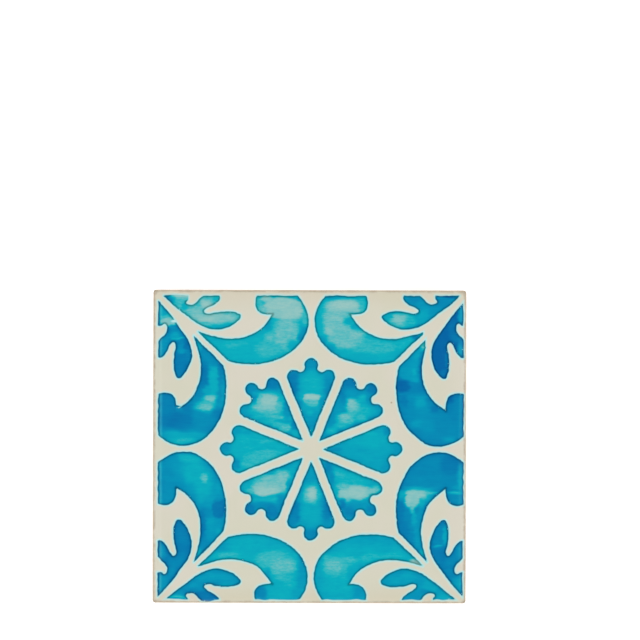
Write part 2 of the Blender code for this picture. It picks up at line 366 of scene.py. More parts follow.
# A shade runs from 0, thin grey-turquoise wash, past 0.4, turquoise, and 0.6, teal blue, to 1, deep
# cobalt blue. A motif is its shade, its pooling, then its strokes: middle in millimetres from the
# rosette's, half width, half height, shade and softness.
WASHES = {
    "scroll_top_left": (0.44, 0.08, [
        (-11, 51.5, 5.8, 7.2, 0.22, 0.35), (-19, 44.4, 5.4, 3.2, 0.31, 0.5),
        (-12.6, 62.7, 8.4, 4.6, 0.09, 0.13), (-14.5, 65, 6.0, 2.4, 0.05, 0.4),
        (-8.5, 60.8, 4.2, 2.4, 0.05, 0.5), (-23.8, 65, 1.8, 3.4, 0.31, 0.5),
        (-20.2, 67.4, 2.2, 1.4, 0.10, 0.5), (-22, 62.6, 2.0, 1.4, 0.20, 0.6),
        (-19, 50, 1.8, 1.8, 0.26, 0.6), (-3.2, 51.4, 1.9, 5.6, 0.62, 0.6),
        (-2.8, 58.6, 1.6, 3.4, 0.28, 0.6), (-4.8, 67.2, 1.4, 1.4, 0.50, 0.6),
        (-5.0, 50, 1.3, 1.8, 0.62, 0.6), (-7.6, 46.2, 3.4, 2.2, 0.47, 0.6), (-30, 40.3, 7, 1.2, 0.44, 0.7),
        (-19.8, 55.4, 1.6, 2.6, 0.56, 0.6), (-34, 47.6, 5.5, 1.6, 0.38, 0.6),
    ]),
    "scroll_top_right": (0.43, 0.12, [
        (12.4, 54.6, 6.4, 8.6, 0.20, 0.35), (11.5, 58.8, 6, 3.4, 0.20, 0.4),
        (14, 64.4, 7.6, 2.6, 0.10, 0.35), (15.5, 64.4, 5, 1.5, 0.03, 0.5), (19.4, 62.4, 3, 1.3, 0.11, 0.5),
        (11.5, 58.6, 4.0, 0.5, 0.14, 0.6), (16.6, 57.4, 2.0, 1.8, 0.46, 0.6),
        (19.2, 54.8, 1.5, 1.4, 0.50, 0.6), (16, 49.0, 8, 3.0, 0.22, 0.4), (18.5, 47, 5, 0.9, 0.17, 0.6),
        (20.6, 51.6, 3.2, 1.8, 0.15, 0.6), (8, 53, 1.8, 1.8, 0.13, 0.6), (29, 45.8, 9, 3.2, 0.34, 0.5),
        (42, 47.8, 4.6, 2.8, 0.40, 0.6), (46.6, 50.2, 1.6, 1.2, 0.72, 0.6), (37.4, 42.4, 3, 2, 0.48, 0.6),
        (2.9, 55.5, 1.8, 8, 0.42, 0.7), (5.6, 48.4, 1.6, 2.6, 0.52, 0.6), (8.8, 45.8, 2.2, 1.7, 0.52, 0.6),
        (12.6, 43.4, 3, 1.4, 0.46, 0.6), (22.5, 41.4, 6.5, 2.0, 0.47, 0.5), (23, 65, 1.8, 3, 0.32, 0.6),
        (9.5, 68.2, 6, 0.8, 0.52, 0.7),
    ]),
    "scroll_left_top": (0.66, 0.12, [
        (-49.4, 41.6, 1.9, 7, 0.66, 0.6), (-48.0, 32, 1.6, 6.5, 0.82, 0.5),
        (-43.7, 31, 2.3, 7.8, 0.46, 0.4), (-43.2, 39.4, 2.2, 2.8, 0.68, 0.5),
        (-40.6, 35.4, 1.2, 4.4, 0.76, 0.6), (-39.4, 24, 1.0, 7, 0.54, 0.6),
        (-47.4, 26.4, 2.2, 2.0, 0.50, 0.6), (-49, 28.6, 1.2, 1.4, 0.78, 0.6),
        (-50.5, 25.5, 2.0, 2.5, 0.68, 0.5), (-50.2, 46.2, 1.4, 2.2, 0.46, 0.6),
        (-60, 13, 8.4, 3.8, 0.82, 0.35), (-60, 13, 4.4, 2.2, 0.87, 0.5), (-64.5, 20, 3.2, 5, 0.76, 0.4),
        (-54.4, 18, 2.8, 2.4, 0.78, 0.6), (-47.6, 19, 5.4, 2.3, 0.38, 0.4),
        (-45.4, 22.4, 3.0, 1.6, 0.19, 0.45), (-46.8, 18.9, 3.6, 1.3, 0.24, 0.5),
        (-46, 20.8, 3, 0.35, 0.36, 0.6), (-46, 16.8, 1.8, 0.8, 0.56, 0.5), (-41, 20, 1.4, 1.8, 0.58, 0.6),
        (-42.4, 15, 2.4, 3.6, 0.78, 0.6), (-57.5, 4.8, 11.5, 3.2, 0.50, 0.3), (-57, 3.4, 5, 1.2, 0.36, 0.6),
        (-45.4, 11, 3.6, 3.4, 0.68, 0.6), (-51, 13, 2.4, 3.4, 0.68, 0.6),
    ]),
    "scroll_right_top": (0.69, 0.16, [
        (44.5, 40, 6.5, 9, 0.57, 0.08), (46.2, 34, 0.8, 1.4, 0.46, 0.8), (46.4, 31, 1.8, 1.6, 0.52, 0.6),
        (49.2, 36.5, 0.9, 5.5, 0.78, 0.7), (50.2, 46.4, 1.7, 1.8, 0.22, 0.6),
        (47.2, 43, 1.8, 2.0, 0.49, 0.6), (44.5, 27.7, 6.5, 3.0, 0.75, 0.2),
        (41.2, 28.4, 2.8, 2.6, 0.96, 0.4), (49, 21, 2.4, 2.4, 0.54, 0.6), (50.5, 16.5, 3.5, 2.6, 0.65, 0.6),
        (52.4, 10.6, 3.4, 2.2, 0.62, 0.6), (47, 11.2, 2.6, 1.8, 0.57, 0.6),
        (41.6, 21.6, 1.6, 2.4, 0.80, 0.6), (55.2, 18.4, 2.0, 1.7, 0.82, 0.6), (64.6, 18, 3.4, 6, 0.76, 0.5),
        (62.3, 22.4, 1.4, 2.0, 0.90, 0.6), (67.2, 12, 1.3, 6.5, 0.72, 0.6), (59, 10, 3.4, 5, 0.72, 0.6),
        (47.4, 7.6, 2.4, 1.6, 0.72, 0.6), (62, 4.4, 3, 1.3, 0.56, 0.6),
    ]),
    "scroll_left_bottom": (0.59, 0.17, [
        (-52.4, -10.5, 5.6, 5.4, 0.46, 0.5), (-54.4, -4.0, 6, 1.9, 0.40, 0.5),
        (-61.8, -5.4, 2.4, 1.8, 0.60, 0.6), (-59.4, -14.5, 2.6, 3.4, 0.63, 0.6),
        (-47.8, -15.5, 3.8, 6.6, 0.46, 0.5), (-47.8, -12.8, 1.4, 1.6, 0.24, 0.6),
        (-64.6, -15, 3.4, 9, 0.66, 0.5), (-50, -22.6, 1.6, 2, 0.50, 0.6), (-45, -24.4, 3, 2.6, 0.57, 0.6),
        (-46.8, -29, 2.4, 2.4, 0.72, 0.5), (-41.4, -27, 2.9, 4.4, 0.84, 0.2),
        (-41.2, -17.4, 1.6, 2.2, 0.52, 0.6), (-41, -22, 1.3, 1.2, 0.62, 0.6),
        (-43.6, -35, 4.2, 3.8, 0.58, 0.12), (-41.4, -37.2, 1.4, 1.4, 0.48, 0.6),
        (-48.6, -33.5, 1.4, 6.5, 0.78, 0.5), (-48.2, -42, 2.4, 3.5, 0.67, 0.6),
        (-50.6, -46, 1.3, 1.6, 0.40, 0.6),
    ]),
    "scroll_right_bottom": (0.72, 0.13, [
        (55, -9.5, 15, 7.4, 0.71, 0.08), (57, -5, 9, 2, 0.70, 0.6), (63, -7, 4.6, 4.4, 0.81, 0.4),
        (49, -17.2, 7, 0.9, 0.56, 0.5), (47.6, -21, 6.6, 3.4, 0.40, 0.5),
        (48.2, -19.4, 5.8, 1.2, 0.15, 0.4), (53.6, -19.6, 2.6, 0.7, 0.30, 0.6),
        (46.6, -20.9, 4.7, 1.8, 0.08, 0.35), (45.4, -22.8, 3.4, 1.8, 0.09, 0.35),
        (45, -24.6, 2.1, 1.5, 0.16, 0.5), (45.2, -26.4, 1.0, 1.4, 0.28, 0.6),
        (45.9, -28.4, 0.9, 1.6, 0.33, 0.6), (46.4, -31, 1.2, 2.4, 0.52, 0.6),
        (49.6, -24, 1.2, 2.2, 0.44, 0.6), (49, -29.5, 1.2, 3.4, 0.60, 0.6), (40.4, -28, 1.4, 9, 0.80, 0.6),
        (40.4, -20.4, 1.5, 2.0, 0.47, 0.6), (42, -36, 2.4, 4, 0.78, 0.6),
        (48.2, -38.5, 1.8, 6.5, 0.55, 0.6), (50.2, -46, 1.3, 2.0, 0.38, 0.6),
        (64.8, -22, 3, 2.4, 0.68, 0.5), (64.8, -19.4, 3.0, 0.6, 0.35, 0.6), (65, -17, 2.4, 0.7, 0.58, 0.6),
        # This stroke lightens the paint on a line near the right rim: a painted highlight.
        (67.2, -13, 1.6, 5.4, 0.57, 0.6),
    ]),
    "scroll_bottom_left": (0.47, 0.10, [
        (-15.6, -51, 8, 5.4, 0.35, 0.35), (-18.5, -49, 5.4, 2.8, 0.30, 0.5),
        (-12.4, -52.6, 5.0, 3.2, 0.24, 0.45), (-12, -58, 4.2, 1.6, 0.36, 0.5),
        (-14, -63.4, 5.6, 3.6, 0.46, 0.4), (-22.4, -64.4, 2.6, 3, 0.72, 0.45), (-6, -62, 3.0, 5, 0.54, 0.4),
        (-9, -60, 2.4, 3, 0.40, 0.6), (-3.8, -52, 1.8, 8, 0.58, 0.7), (-19.4, -56.4, 1.6, 3, 0.54, 0.6),
        (-40, -44, 3.4, 2.6, 0.56, 0.7), (-36.5, -48, 5, 1.8, 0.31, 0.6),
    ]),
    "scroll_bottom_right": (0.48, 0.10, [
        (12, -53, 6.8, 5.0, 0.34, 0.45), (10, -52, 4.4, 2.9, 0.25, 0.5), (17, -49.6, 4, 1.1, 0.33, 0.6),
        (7, -49, 1.6, 1.4, 0.35, 0.6), (14.4, -55.4, 1.6, 1.4, 0.38, 0.6), (12, -61, 5, 4, 0.45, 0.6),
        (16.4, -62, 1.8, 1.6, 0.38, 0.6), (21.8, -64.6, 2.6, 2.4, 0.60, 0.5),
        (47.2, -50.7, 3.4, 1.8, 0.0, 0.5), (18.2, -56, 2, 3.4, 0.50, 0.6),
        (25.4, -48.6, 3.2, 1.6, 0.38, 0.6), (3.8, -57, 1.8, 8, 0.51, 0.7), (30, -41.5, 10, 1.8, 0.53, 0.7),
        (35, -48.2, 8, 1.7, 0.38, 0.6),
    ]),
    "leaf_top_left": (0.23, 0.12, [
        (-62, 66, 3, 2.6, 0.30, 0.6), (-63.9, 67.4, 2.4, 1.7, 0.62, 0.6), (-57, 64, 1.6, 1.4, 0.42, 0.6),
        (-52, 61.5, 3.5, 2, 0.18, 0.6), (-41.5, 58.6, 6, 2, 0.11, 0.5), (-47.5, 59.2, 3.5, 1.2, 0.10, 0.5),
        (-47.2, 57.9, 3.6, 0.7, 0.02, 0.5), (-41.5, 55.2, 6.6, 1.1, 0.45, 0.6),
        (-46.4, 56.2, 2, 0.8, 0.24, 0.6), (-52.4, 59.2, 1.6, 1.2, 0.12, 0.6),
        (-47.4, 65, 2.6, 1.8, 0.02, 0.6), (-50.6, 64.6, 1.4, 1.0, 0.24, 0.6),
        (-43.2, 67.2, 1.6, 1.0, 0.36, 0.6), (-57.6, 68.9, 4.6, 1.0, -0.05, 0.6),
    ]),
    "leaf_top_right": (0.61, 0.06, [
        (39.4, 58.0, 5.2, 3.2, 0.23, 0.5), (39.8, 58.4, 3.4, 1.9, 0.15, 0.5),
        (44.6, 57.4, 2.8, 2, 0.38, 0.6), (34.5, 59.4, 1.8, 1.4, 0.46, 0.6),
        (49.8, 59.8, 2.6, 3.2, 0.50, 0.6), (45.5, 66.8, 3, 1.4, 0.70, 0.6), (59, 66.2, 4, 2.2, 0.70, 0.6),
        (60.5, 68.4, 4, 0.7, 0.98, 0.6),
    ]),
    "leaf_left_top": (0.72, 0.14, [
        (-58.4, 38.8, 3.0, 5.4, 0.80, 0.4), (-58, 45.2, 2.6, 1.8, 0.66, 0.5),
        (-58.2, 44, 1.6, 1.2, 0.58, 0.6), (-56, 46.6, 1.3, 1.8, 0.86, 0.6),
        (-61.2, 50.4, 2.2, 2.0, 0.52, 0.6), (-66, 46, 2.2, 5, 0.62, 0.6),
        (-65.5, 62.4, 3.5, 2.4, 0.50, 0.35), (-64, 59.4, 4, 0.8, 0.34, 0.5),
        (-64.2, 57.2, 3.6, 1.6, 0.08, 0.35), (-64.2, 56.0, 2.2, 1.2, 0.08, 0.5),
        (-61.6, 54.8, 1.3, 1.0, 0.64, 0.6), (-60.9, 49.2, 3.2, 0.26, 0.34, 0.5),
        (-58.6, 42.7, 1.8, 0.22, 0.58, 0.6),
    ]),
    "leaf_right_top": (1.0, 0.03, [
        (65.2, 51.0, 3, 3, 0.82, 0.5), (66.8, 44.6, 1.6, 3, 0.66, 0.6), (67, 60, 1.6, 3.6, 0.66, 0.6),
        (63.4, 54.6, 2, 3, 0.90, 0.6), (61, 41, 1.0, 6, 0.86, 0.6), (59, 34.4, 1.4, 1.4, 0.87, 0.6),
    ]),
    "leaf_left_bottom": (0.80, 0.13, [
        (-57.4, -38, 3, 6, 0.77, 0.5), (-60, -50.4, 4, 3.2, 0.72, 0.6), (-66, -60.4, 2.4, 3.4, 0.60, 0.6),
        (-63, -55.4, 2.2, 2.4, 0.66, 0.6), (-66.5, -46, 1.6, 3.4, 0.62, 0.6),
    ]),
    "leaf_right_bottom": (0.76, 0.10, [
        (57.6, -39.6, 2.6, 5, 0.72, 0.5), (57, -43.5, 1.8, 0.4, 0.44, 0.6),
        (60.3, -38.5, 1.0, 4, 0.48, 0.6), (59.4, -47, 3.2, 2.3, 0.81, 0.6),
        (62.8, -50, 2.4, 2.2, 0.70, 0.6), (62, -55, 1.8, 1.8, 0.70, 0.6), (66.2, -46, 1.2, 4, 0.68, 0.6),
        (65.4, -60, 2.4, 3, 0.56, 0.6),
    ]),
    "leaf_bottom_left": (0.62, 0.12, [
        (-38, -58.4, 5, 2.4, 0.58, 0.6), (-38, -60.8, 3, 1.0, 0.50, 0.6), (-46.6, -57.2, 3.8, 2, 0.54, 0.6),
        (-47, -66, 5.8, 2.2, 0.82, 0.4), (-43.8, -67, 1.8, 1.2, 0.86, 0.5),
        (-54.5, -63.8, 3.4, 1.4, 0.71, 0.5), (-53, -60.8, 1.8, 1.2, 0.54, 0.6),
        (-61, -65, 3, 1.4, 0.56, 0.5), (-60.0, -66.8, 4, 0.6, 0.30, 0.6),
    ]),
    "leaf_bottom_right": (0.57, 0.06, [
        (40, -58.4, 5, 2.2, 0.54, 0.6), (45.5, -66.4, 4, 1.4, 0.64, 0.6), (51.5, -64, 2.6, 1.4, 0.67, 0.6),
        (52.6, -60.4, 2, 2, 0.50, 0.6), (55.4, -62, 1.6, 1.0, 0.48, 0.6), (60, -65.6, 3.6, 1.6, 0.48, 0.6),
    ]),
    "petal_north": (0.50, 0.13, [
        (-8, 29.5, 2.2, 5.5, 0.76, 0.5), (7.8, 28.4, 1.9, 5, 0.66, 0.6), (0, 38.4, 3.2, 2.4, 0.62, 0.6),
        (0, 29.5, 3.6, 4.6, 0.43, 0.5), (0.4, 22.4, 4.6, 2.6, 0.25, 0.14), (0.2, 23.5, 4.0, 1.1, 0.0, 0.3),
        (0.4, 20.8, 2.4, 1.8, 0.28, 0.5), (-5.4, 20.5, 1.2, 3.0, 0.60, 0.6),
        (-4.6, 23, 0.9, 1.4, 0.46, 0.6), (4.6, 20.8, 1.1, 2.6, 0.56, 0.6), (0, 15.0, 2.6, 2.4, 0.55, 0.5),
        (-0.6, 16.2, 1.2, 1.0, 0.44, 0.6), (0.4, 11.4, 2, 2.4, 0.62, 0.6), (0, 7.8, 1.6, 1.4, 0.46, 0.6),
    ]),
    "petal_north_east": (0.61, 0.10, [
        (17.4, 29.3, 3.2, 2.4, 0.80, 0.5), (27.4, 27, 2.4, 2.4, 0.82, 0.5),
        (29.6, 17.3, 2.4, 2.2, 0.56, 0.6), (22.5, 17.2, 5.2, 3.4, 0.40, 0.5),
        (22.8, 23, 1.8, 1.6, 0.42, 0.6), (13.6, 24.4, 1.6, 3.4, 0.74, 0.6), (12, 19.4, 1.4, 4, 0.58, 0.6),
        (18.6, 19.6, 3.0, 3.4, 0.23, 0.4), (18.2, 20.6, 1.8, 2, 0.15, 0.5),
        (15.6, 13.6, 4, 2.4, 0.26, 0.45), (15, 14.6, 2.2, 1.2, 0.18, 0.5),
        (22.4, 13.8, 2.4, 1.0, 0.36, 0.6), (17.2, 12.8, 1.2, 0.8, 0.32, 0.6),
        (13.5, 10.6, 3.4, 0.9, 0.38, 0.6), (9.2, 8.2, 2.4, 2, 0.40, 0.6),
    ]),
    "petal_east": (0.52, 0.05, [
        (26, 4, 8, 2.6, 0.46, 0.6), (33.6, -8, 2.2, 2.2, 0.60, 0.6), (38.4, 0, 2.4, 2.4, 0.58, 0.6),
        (34.4, 8.4, 1.7, 1.5, 0.68, 0.6), (10.5, 0, 3, 1.2, 0.68, 0.6), (26, -5, 8, 2, 0.53, 0.6),
        (26, 6.8, 3, 1.2, 0.40, 0.6),
    ]),
    "petal_south_east": (0.51, 0.13, [
        (18.5, -12.8, 8, 2.6, 0.38, 0.6), (12, -10.4, 2.6, 2, 0.38, 0.6),
        (19.4, -19.2, 8.2, 3.4, 0.20, 0.18), (18.8, -19.4, 6.2, 2.6, 0.05, 0.3),
        (11.4, -18.8, 1.2, 1.8, 0.44, 0.6), (14.4, -16.6, 3, 1.3, 0.24, 0.5),
        (29.2, -17.6, 1.8, 1.8, 0.28, 0.6), (27.8, -19, 1.8, 1.4, 0.13, 0.6),
        (25, -22.8, 2.4, 0.9, 0.52, 0.6), (20, -24.6, 8, 1.3, 0.58, 0.5),
        (16.4, -22.8, 1.8, 0.9, 0.22, 0.6), (17.4, -28, 2.8, 2.6, 0.74, 0.5),
        (27.2, -27, 2.4, 2.2, 0.71, 0.5), (7.8, -8.4, 1.5, 2.4, 0.72, 0.6),
        (9.4, -12.4, 1.2, 3.6, 0.64, 0.6), (14.2, -25, 1.3, 2.8, 0.78, 0.6),
    ]),
    "petal_south": (0.54, 0.12, [
        (0, -20.2, 3.4, 4.4, 0.27, 0.4), (0.5, -20.4, 1.9, 3.2, 0.06, 0.5),
        (3.8, -20.4, 1.0, 2.4, 0.38, 0.6), (-7.2, -28.4, 2.2, 5, 0.76, 0.5),
        (-8.4, -32, 1.6, 2.2, 0.70, 0.6), (7.2, -28, 2.0, 5, 0.76, 0.6), (0, -29, 4.0, 5, 0.48, 0.6),
        (-4.8, -34, 1.6, 1.4, 0.49, 0.6), (0, -38.4, 2.8, 2.2, 0.70, 0.6), (0, -12.4, 2, 2.2, 0.56, 0.6),
    ]),
    "petal_south_west": (0.47, 0.18, [
        (-17.6, -15.6, 8, 4.4, 0.18, 0.4), (-21.4, -18, 5, 2.4, 0.13, 0.45),
        (-19.5, -18.9, 5.2, 1.8, 0.05, 0.4), (-12.6, -11.8, 3.4, 2.6, 0.17, 0.5),
        (-29.6, -16.6, 2.0, 2.0, 0.42, 0.6), (-27.6, -19, 1.6, 1.4, 0.20, 0.6),
        (-23.4, -13.8, 1.8, 1.1, 0.30, 0.6), (-20, -22.8, 8, 0.9, 0.41, 0.5),
        (-22.5, -25, 3, 1.4, 0.63, 0.5), (-27.4, -26.8, 2.6, 2.6, 0.78, 0.45),
        (-17.4, -27.6, 3.2, 3.2, 0.75, 0.45), (-13.4, -23.6, 1.8, 3, 0.63, 0.6),
        (-9.6, -17, 1.3, 4, 0.52, 0.6), (-7, -8.4, 2, 2.6, 0.45, 0.6), (-19.6, -11, 3.8, 0.9, 0.45, 0.6),
    ]),
    "petal_west": (0.44, 0.10, [
        (-33.2, 8.2, 2.4, 2.0, 0.55, 0.6), (-29, 7.4, 2, 1, 0.54, 0.6), (-38.6, 0.2, 2.4, 2.4, 0.60, 0.6),
        (-22, -4.4, 8, 2.4, 0.33, 0.6), (-19, -1.6, 6, 1.0, 0.33, 0.6), (-20, 3.8, 4, 0.9, 0.36, 0.6),
        (-33.8, -6.8, 1.8, 2.4, 0.64, 0.6), (-28, -7.2, 3, 1.1, 0.32, 0.6),
        (-31.6, -3.4, 1.2, 1.4, 0.48, 0.6),
    ]),
    "petal_north_west": (0.54, 0.12, [
        (-27.4, 27.0, 2.4, 2.2, 0.68, 0.5), (-17.5, 29.2, 3, 2.4, 0.78, 0.5),
        (-29.6, 16.8, 2, 1.6, 0.54, 0.6), (-19.4, 20, 7.4, 5.0, 0.25, 0.35),
        (-18.8, 21.8, 4.4, 2.4, 0.07, 0.4), (-23.2, 22.4, 1.3, 1.6, 0.25, 0.6),
        (-13.8, 22.2, 1.3, 1.6, 0.40, 0.6), (-20.5, 19.0, 5.5, 0.9, 0.16, 0.6),
        (-25.6, 22.8, 1.3, 1.9, 0.62, 0.6), (-25, 25, 1.4, 1.2, 0.52, 0.6),
        (-14.6, 19.4, 1.6, 1.4, 0.25, 0.6), (-15.6, 14.2, 5.4, 1.0, 0.28, 0.6),
        (-24.4, 14.4, 2.4, 1.0, 0.40, 0.6), (-18.6, 12.4, 3.6, 0.9, 0.38, 0.6),
        (-15.6, 11, 2.2, 0.9, 0.32, 0.6), (-11.6, 9.6, 3.2, 1.9, 0.25, 0.5), (-11, 18, 1.4, 5, 0.60, 0.7),
        (-7.6, 10.4, 1.2, 2.6, 0.70, 0.6), (-7, 6.8, 1.6, 1.4, 0.44, 0.6),
    ]),
}
MOTIFS = ("scroll", "leaf")
BARE_SHADE = 0.4
STROKE_SQUARENESS = 2.6
RAGGED_ENDS = 0.25
BRISTLE_WIDTH = 1.6
BRISTLE_STRETCH = 6
STROKE_SWAY = 0.3
STROKE_SWAY_LENGTH = 9
POOL_WIDTH = 1.5
PAINTED_RIM_HIGHLIGHT = 0.18
HIGHLIGHT_LINE_LEFT = 3.6
HIGHLIGHT_LINE_LEFT_WIDTH = 0.55
HIGHLIGHT_LINE_RIGHT = 2.8
HIGHLIGHT_LINE_RIGHT_WIDTH = 0.8
HIGHLIGHT_LINE_RIGHT_SHARE = 0.5


def brushed(shade, x, y, stroke):
    """The shade after one more stroke, which covers its middle and thins out towards its ends."""
    middle_x, middle_y, half_width, half_height, stroke_shade, softness = stroke
    across = np.abs((x - middle_x) / half_width) ** STROKE_SQUARENESS
    up = np.abs((y - middle_y) / half_height) ** STROKE_SQUARENESS
    reach = (across + up) ** (1 / STROKE_SQUARENESS)
    cover = np.clip((1 + softness - reach) / (2 * softness), 0, 1)
    cover = cover * cover * (3 - 2 * cover)
    return shade + (stroke_shade - shade) * cover


angle = np.degrees(np.arctan2(shaken_y, shaken_x)) % 360
sector = (angle // SECTOR_WIDTH).astype(int)
point_of_compass = ((angle + SECTOR_WIDTH / 2) // SECTOR_WIDTH).astype(int) % len(COMPASS)
brush_x = pattern_x + RAGGED_ENDS * wander(pattern_x / BRISTLE_STRETCH, pattern_y, BRISTLE_WIDTH, seed=11)
brush_y = pattern_y + STROKE_SWAY * wander(pattern_x, pattern_y, STROKE_SWAY_LENGTH, seed=12)
shade = np.full(len(face), BARE_SHADE)
for name, (flood, pooling, strokes) in WASHES.items():
    motif, bearing = name.split("_", 1)
    if motif == "petal":
        here = (kind >= len(MOTIFS)) & (point_of_compass == COMPASS.index(bearing))
    else:
        here = (kind == MOTIFS.index(motif)) & (sector == SECTORS.index(bearing))
    laid = np.full(here.sum(), flood)
    for stroke in strokes:
        laid = brushed(laid, brush_x[here], brush_y[here], stroke)
    shade[here] = laid + pooling * np.exp(-np.maximum(pool_depth[here], 0) / POOL_WIDTH)
# A painted highlight: the paint is made lighter on a line near the left rim, and more weakly near the right
# rim.
rim_highlight = ridge(to_left, HIGHLIGHT_LINE_LEFT, HIGHLIGHT_LINE_LEFT_WIDTH)
rim_highlight = rim_highlight + HIGHLIGHT_LINE_RIGHT_SHARE * ridge(to_right, HIGHLIGHT_LINE_RIGHT, HIGHLIGHT_LINE_RIGHT_WIDTH)
shade = np.clip(shade - PAINTED_RIM_HIGHLIGHT * rim_highlight, 0, 1)

# The relief of the glaze: the paint swells up under the top glaze where it is thick, and the glaze itself
# lies in slow waves left by the pour. Both die out towards the rim.
PAINT_SWELL = 0.035 * MM
SWELL_WIDTH = 0.5
POUR_WAVES = 0.010 * MM
POUR_LENGTH = 26
RIPPLE_SHARE = 0.5
RIPPLE_LENGTH = 9
SMOOTH_RIM = 2.0 * MM

swell = PAINT_SWELL * np.clip(0.5 + paint_depth / (2 * SWELL_WIDTH), 0, 1)
waves = wander(pattern_x, pattern_y, POUR_LENGTH, seed=21)
waves = POUR_WAVES * (waves + RIPPLE_SHARE * wander(pattern_x, pattern_y, RIPPLE_LENGTH, seed=22))
settled = np.clip(inset / SMOOTH_RIM, 0, 1)
face[:, 2] += (swell + waves - PAINT_SWELL) * settled
move_to(tile.data, face)
measures = {"paint_depth": paint_depth, "pool_depth": pool_depth, "shade": shade, "from_side": inset / MM}
for name, values in measures.items():
    layer = tile.data.attributes.new(name, "FLOAT", "POINT")
    layer.data.foreach_set("value", values.astype(np.float32))

# The walls and the back: bare fired clay. The walls drop from the arris to a small chamfer and are a
# little uneven, and the back has shallow square recesses pressed between its ribs, which the mortar keys
# into.
WALL_TOP = FACE_HEIGHT - RIM_FALL
CHAMFER = 0.8 * MM
WALL_ROWS = 6
RECESSES = 8
RECESS_PITCH = 15.0 * MM
RECESS_WIDTH = 12.0 * MM
RECESS_DEPTH = 0.7 * MM
RECESS_DRAFT = 0.5 * MM
BACK_BORDER = 4.0 * MM
SIDE_BAND = 2.0 * MM
WALL_UNEVENNESS = 0.05 * MM
WALL_UNEVENNESS_LENGTH = 9
WALL_DRAWN_IN = 1.5
LEVEL_TOLERANCE = 0.1 * MM
PITCH_TOLERANCE = 0.1
AREA_TOLERANCE = 1e-7
SHARP_ANGLE = math.radians(35)

bpy.context.view_layer.objects.active = tile
bpy.ops.object.select_all(action="DESELECT")
tile.select_set(True)
bpy.ops.object.mode_set(mode="EDIT")
bpy.ops.mesh.select_mode(type="EDGE")
bpy.ops.mesh.select_all(action="DESELECT")
bpy.ops.mesh.select_non_manifold()
row_height = (WALL_TOP - CHAMFER) / WALL_ROWS
for _ in range(WALL_ROWS):
    bpy.ops.mesh.extrude_edges_move(TRANSFORM_OT_translate={"value": (0, 0, -row_height)})
bpy.ops.mesh.extrude_edges_move(TRANSFORM_OT_translate={"value": (0, 0, -CHAMFER)})
narrowing = (HALF - CHAMFER) / HALF
bpy.ops.transform.resize(value=(narrowing, narrowing, 1), center_override=(0, 0, 0))
bpy.ops.object.mode_set(mode="OBJECT")

bpy.ops.object.select_all(action="DESELECT")
lines = 2 * RECESSES + 1
bpy.ops.mesh.primitive_grid_add(x_subdivisions=lines, y_subdivisions=lines, size=lines)
back = bpy.context.object
back.name = "pressed_back"
plate = places_of(back.data)
number = np.rint(plate[:, :2] + lines / 2).astype(int)
first = -RECESS_PITCH * (RECESSES - 1) / 2
middles = first + RECESS_PITCH * np.arange(RECESSES)
edges = (middles[:, None] + np.array((-1, 1)) * RECESS_WIDTH / 2).ravel()
border = HALF - BACK_BORDER
plate[:, :2] = np.concatenate([[-border], edges, [border]])[number]
move_to(back.data, plate)
bpy.ops.object.mode_set(mode="EDIT")
bpy.ops.mesh.select_all(action="SELECT")
bpy.ops.mesh.flip_normals()
bpy.ops.mesh.select_mode(type="FACE")
bpy.ops.mesh.select_all(action="DESELECT")
bpy.ops.object.mode_set(mode="OBJECT")
for polygon in back.data.polygons:
    column_and_row = (np.array(polygon.center[:2]) - first) / RECESS_PITCH
    on_pitch = np.abs(column_and_row - np.rint(column_and_row)).max() < PITCH_TOLERANCE
    full_width = abs(polygon.area - RECESS_WIDTH**2) < AREA_TOLERANCE
    polygon.select = bool(on_pitch and full_width)
bpy.ops.object.mode_set(mode="EDIT")
bpy.ops.mesh.inset(thickness=RECESS_DRAFT, depth=-RECESS_DEPTH, use_individual=True)
bpy.ops.object.mode_set(mode="OBJECT")

bpy.ops.object.select_all(action="DESELECT")
back.select_set(True)
tile.select_set(True)
bpy.context.view_layer.objects.active = tile
bpy.ops.object.join()
bpy.ops.object.mode_set(mode="EDIT")
bpy.ops.mesh.select_mode(type="EDGE")
bpy.ops.mesh.select_all(action="DESELECT")
bpy.ops.mesh.select_non_manifold()
bpy.ops.mesh.fill(use_beauty=True)
bpy.ops.object.mode_set(mode="OBJECT")

solid = places_of(tile.data)
solid_height = solid[:, 2]
at_side = np.abs(solid[:, :2]).max(axis=1) > HALF - SIDE_BAND
wall = at_side & (solid_height > LEVEL_TOLERANCE) & (solid_height < WALL_TOP - LEVEL_TOLERANCE)
round_walls = (solid[:, 0] + solid[:, 1]) / MM
dented = wander(round_walls, solid_height / MM, WALL_UNEVENNESS_LENGTH, seed=31) - WALL_DRAWN_IN
solid[wall, :2] *= 1 + (WALL_UNEVENNESS * dented[wall] / HALF)[:, None]
move_to(tile.data, solid)
tile.data.shade_smooth()
tile.data.set_sharp_from_angle(angle=SHARP_ANGLE)

# The tile's own map for its baked colours: the face large at the lower left, the back small above it, and
# the four walls as strips at the right.
MAP_MARGIN = 0.01
FACE_SHARE = 0.77
BACK_SHARE = 0.19
SECOND_PART = 0.80
STRIP_PITCH = 0.048
STRIP_SHARE = 0.04


def across_mesh(items, name, width, kind):
    values = np.empty(len(items) * width, kind)
    items.foreach_get(name, values)
    return values.reshape(-1, width) if width > 1 else values


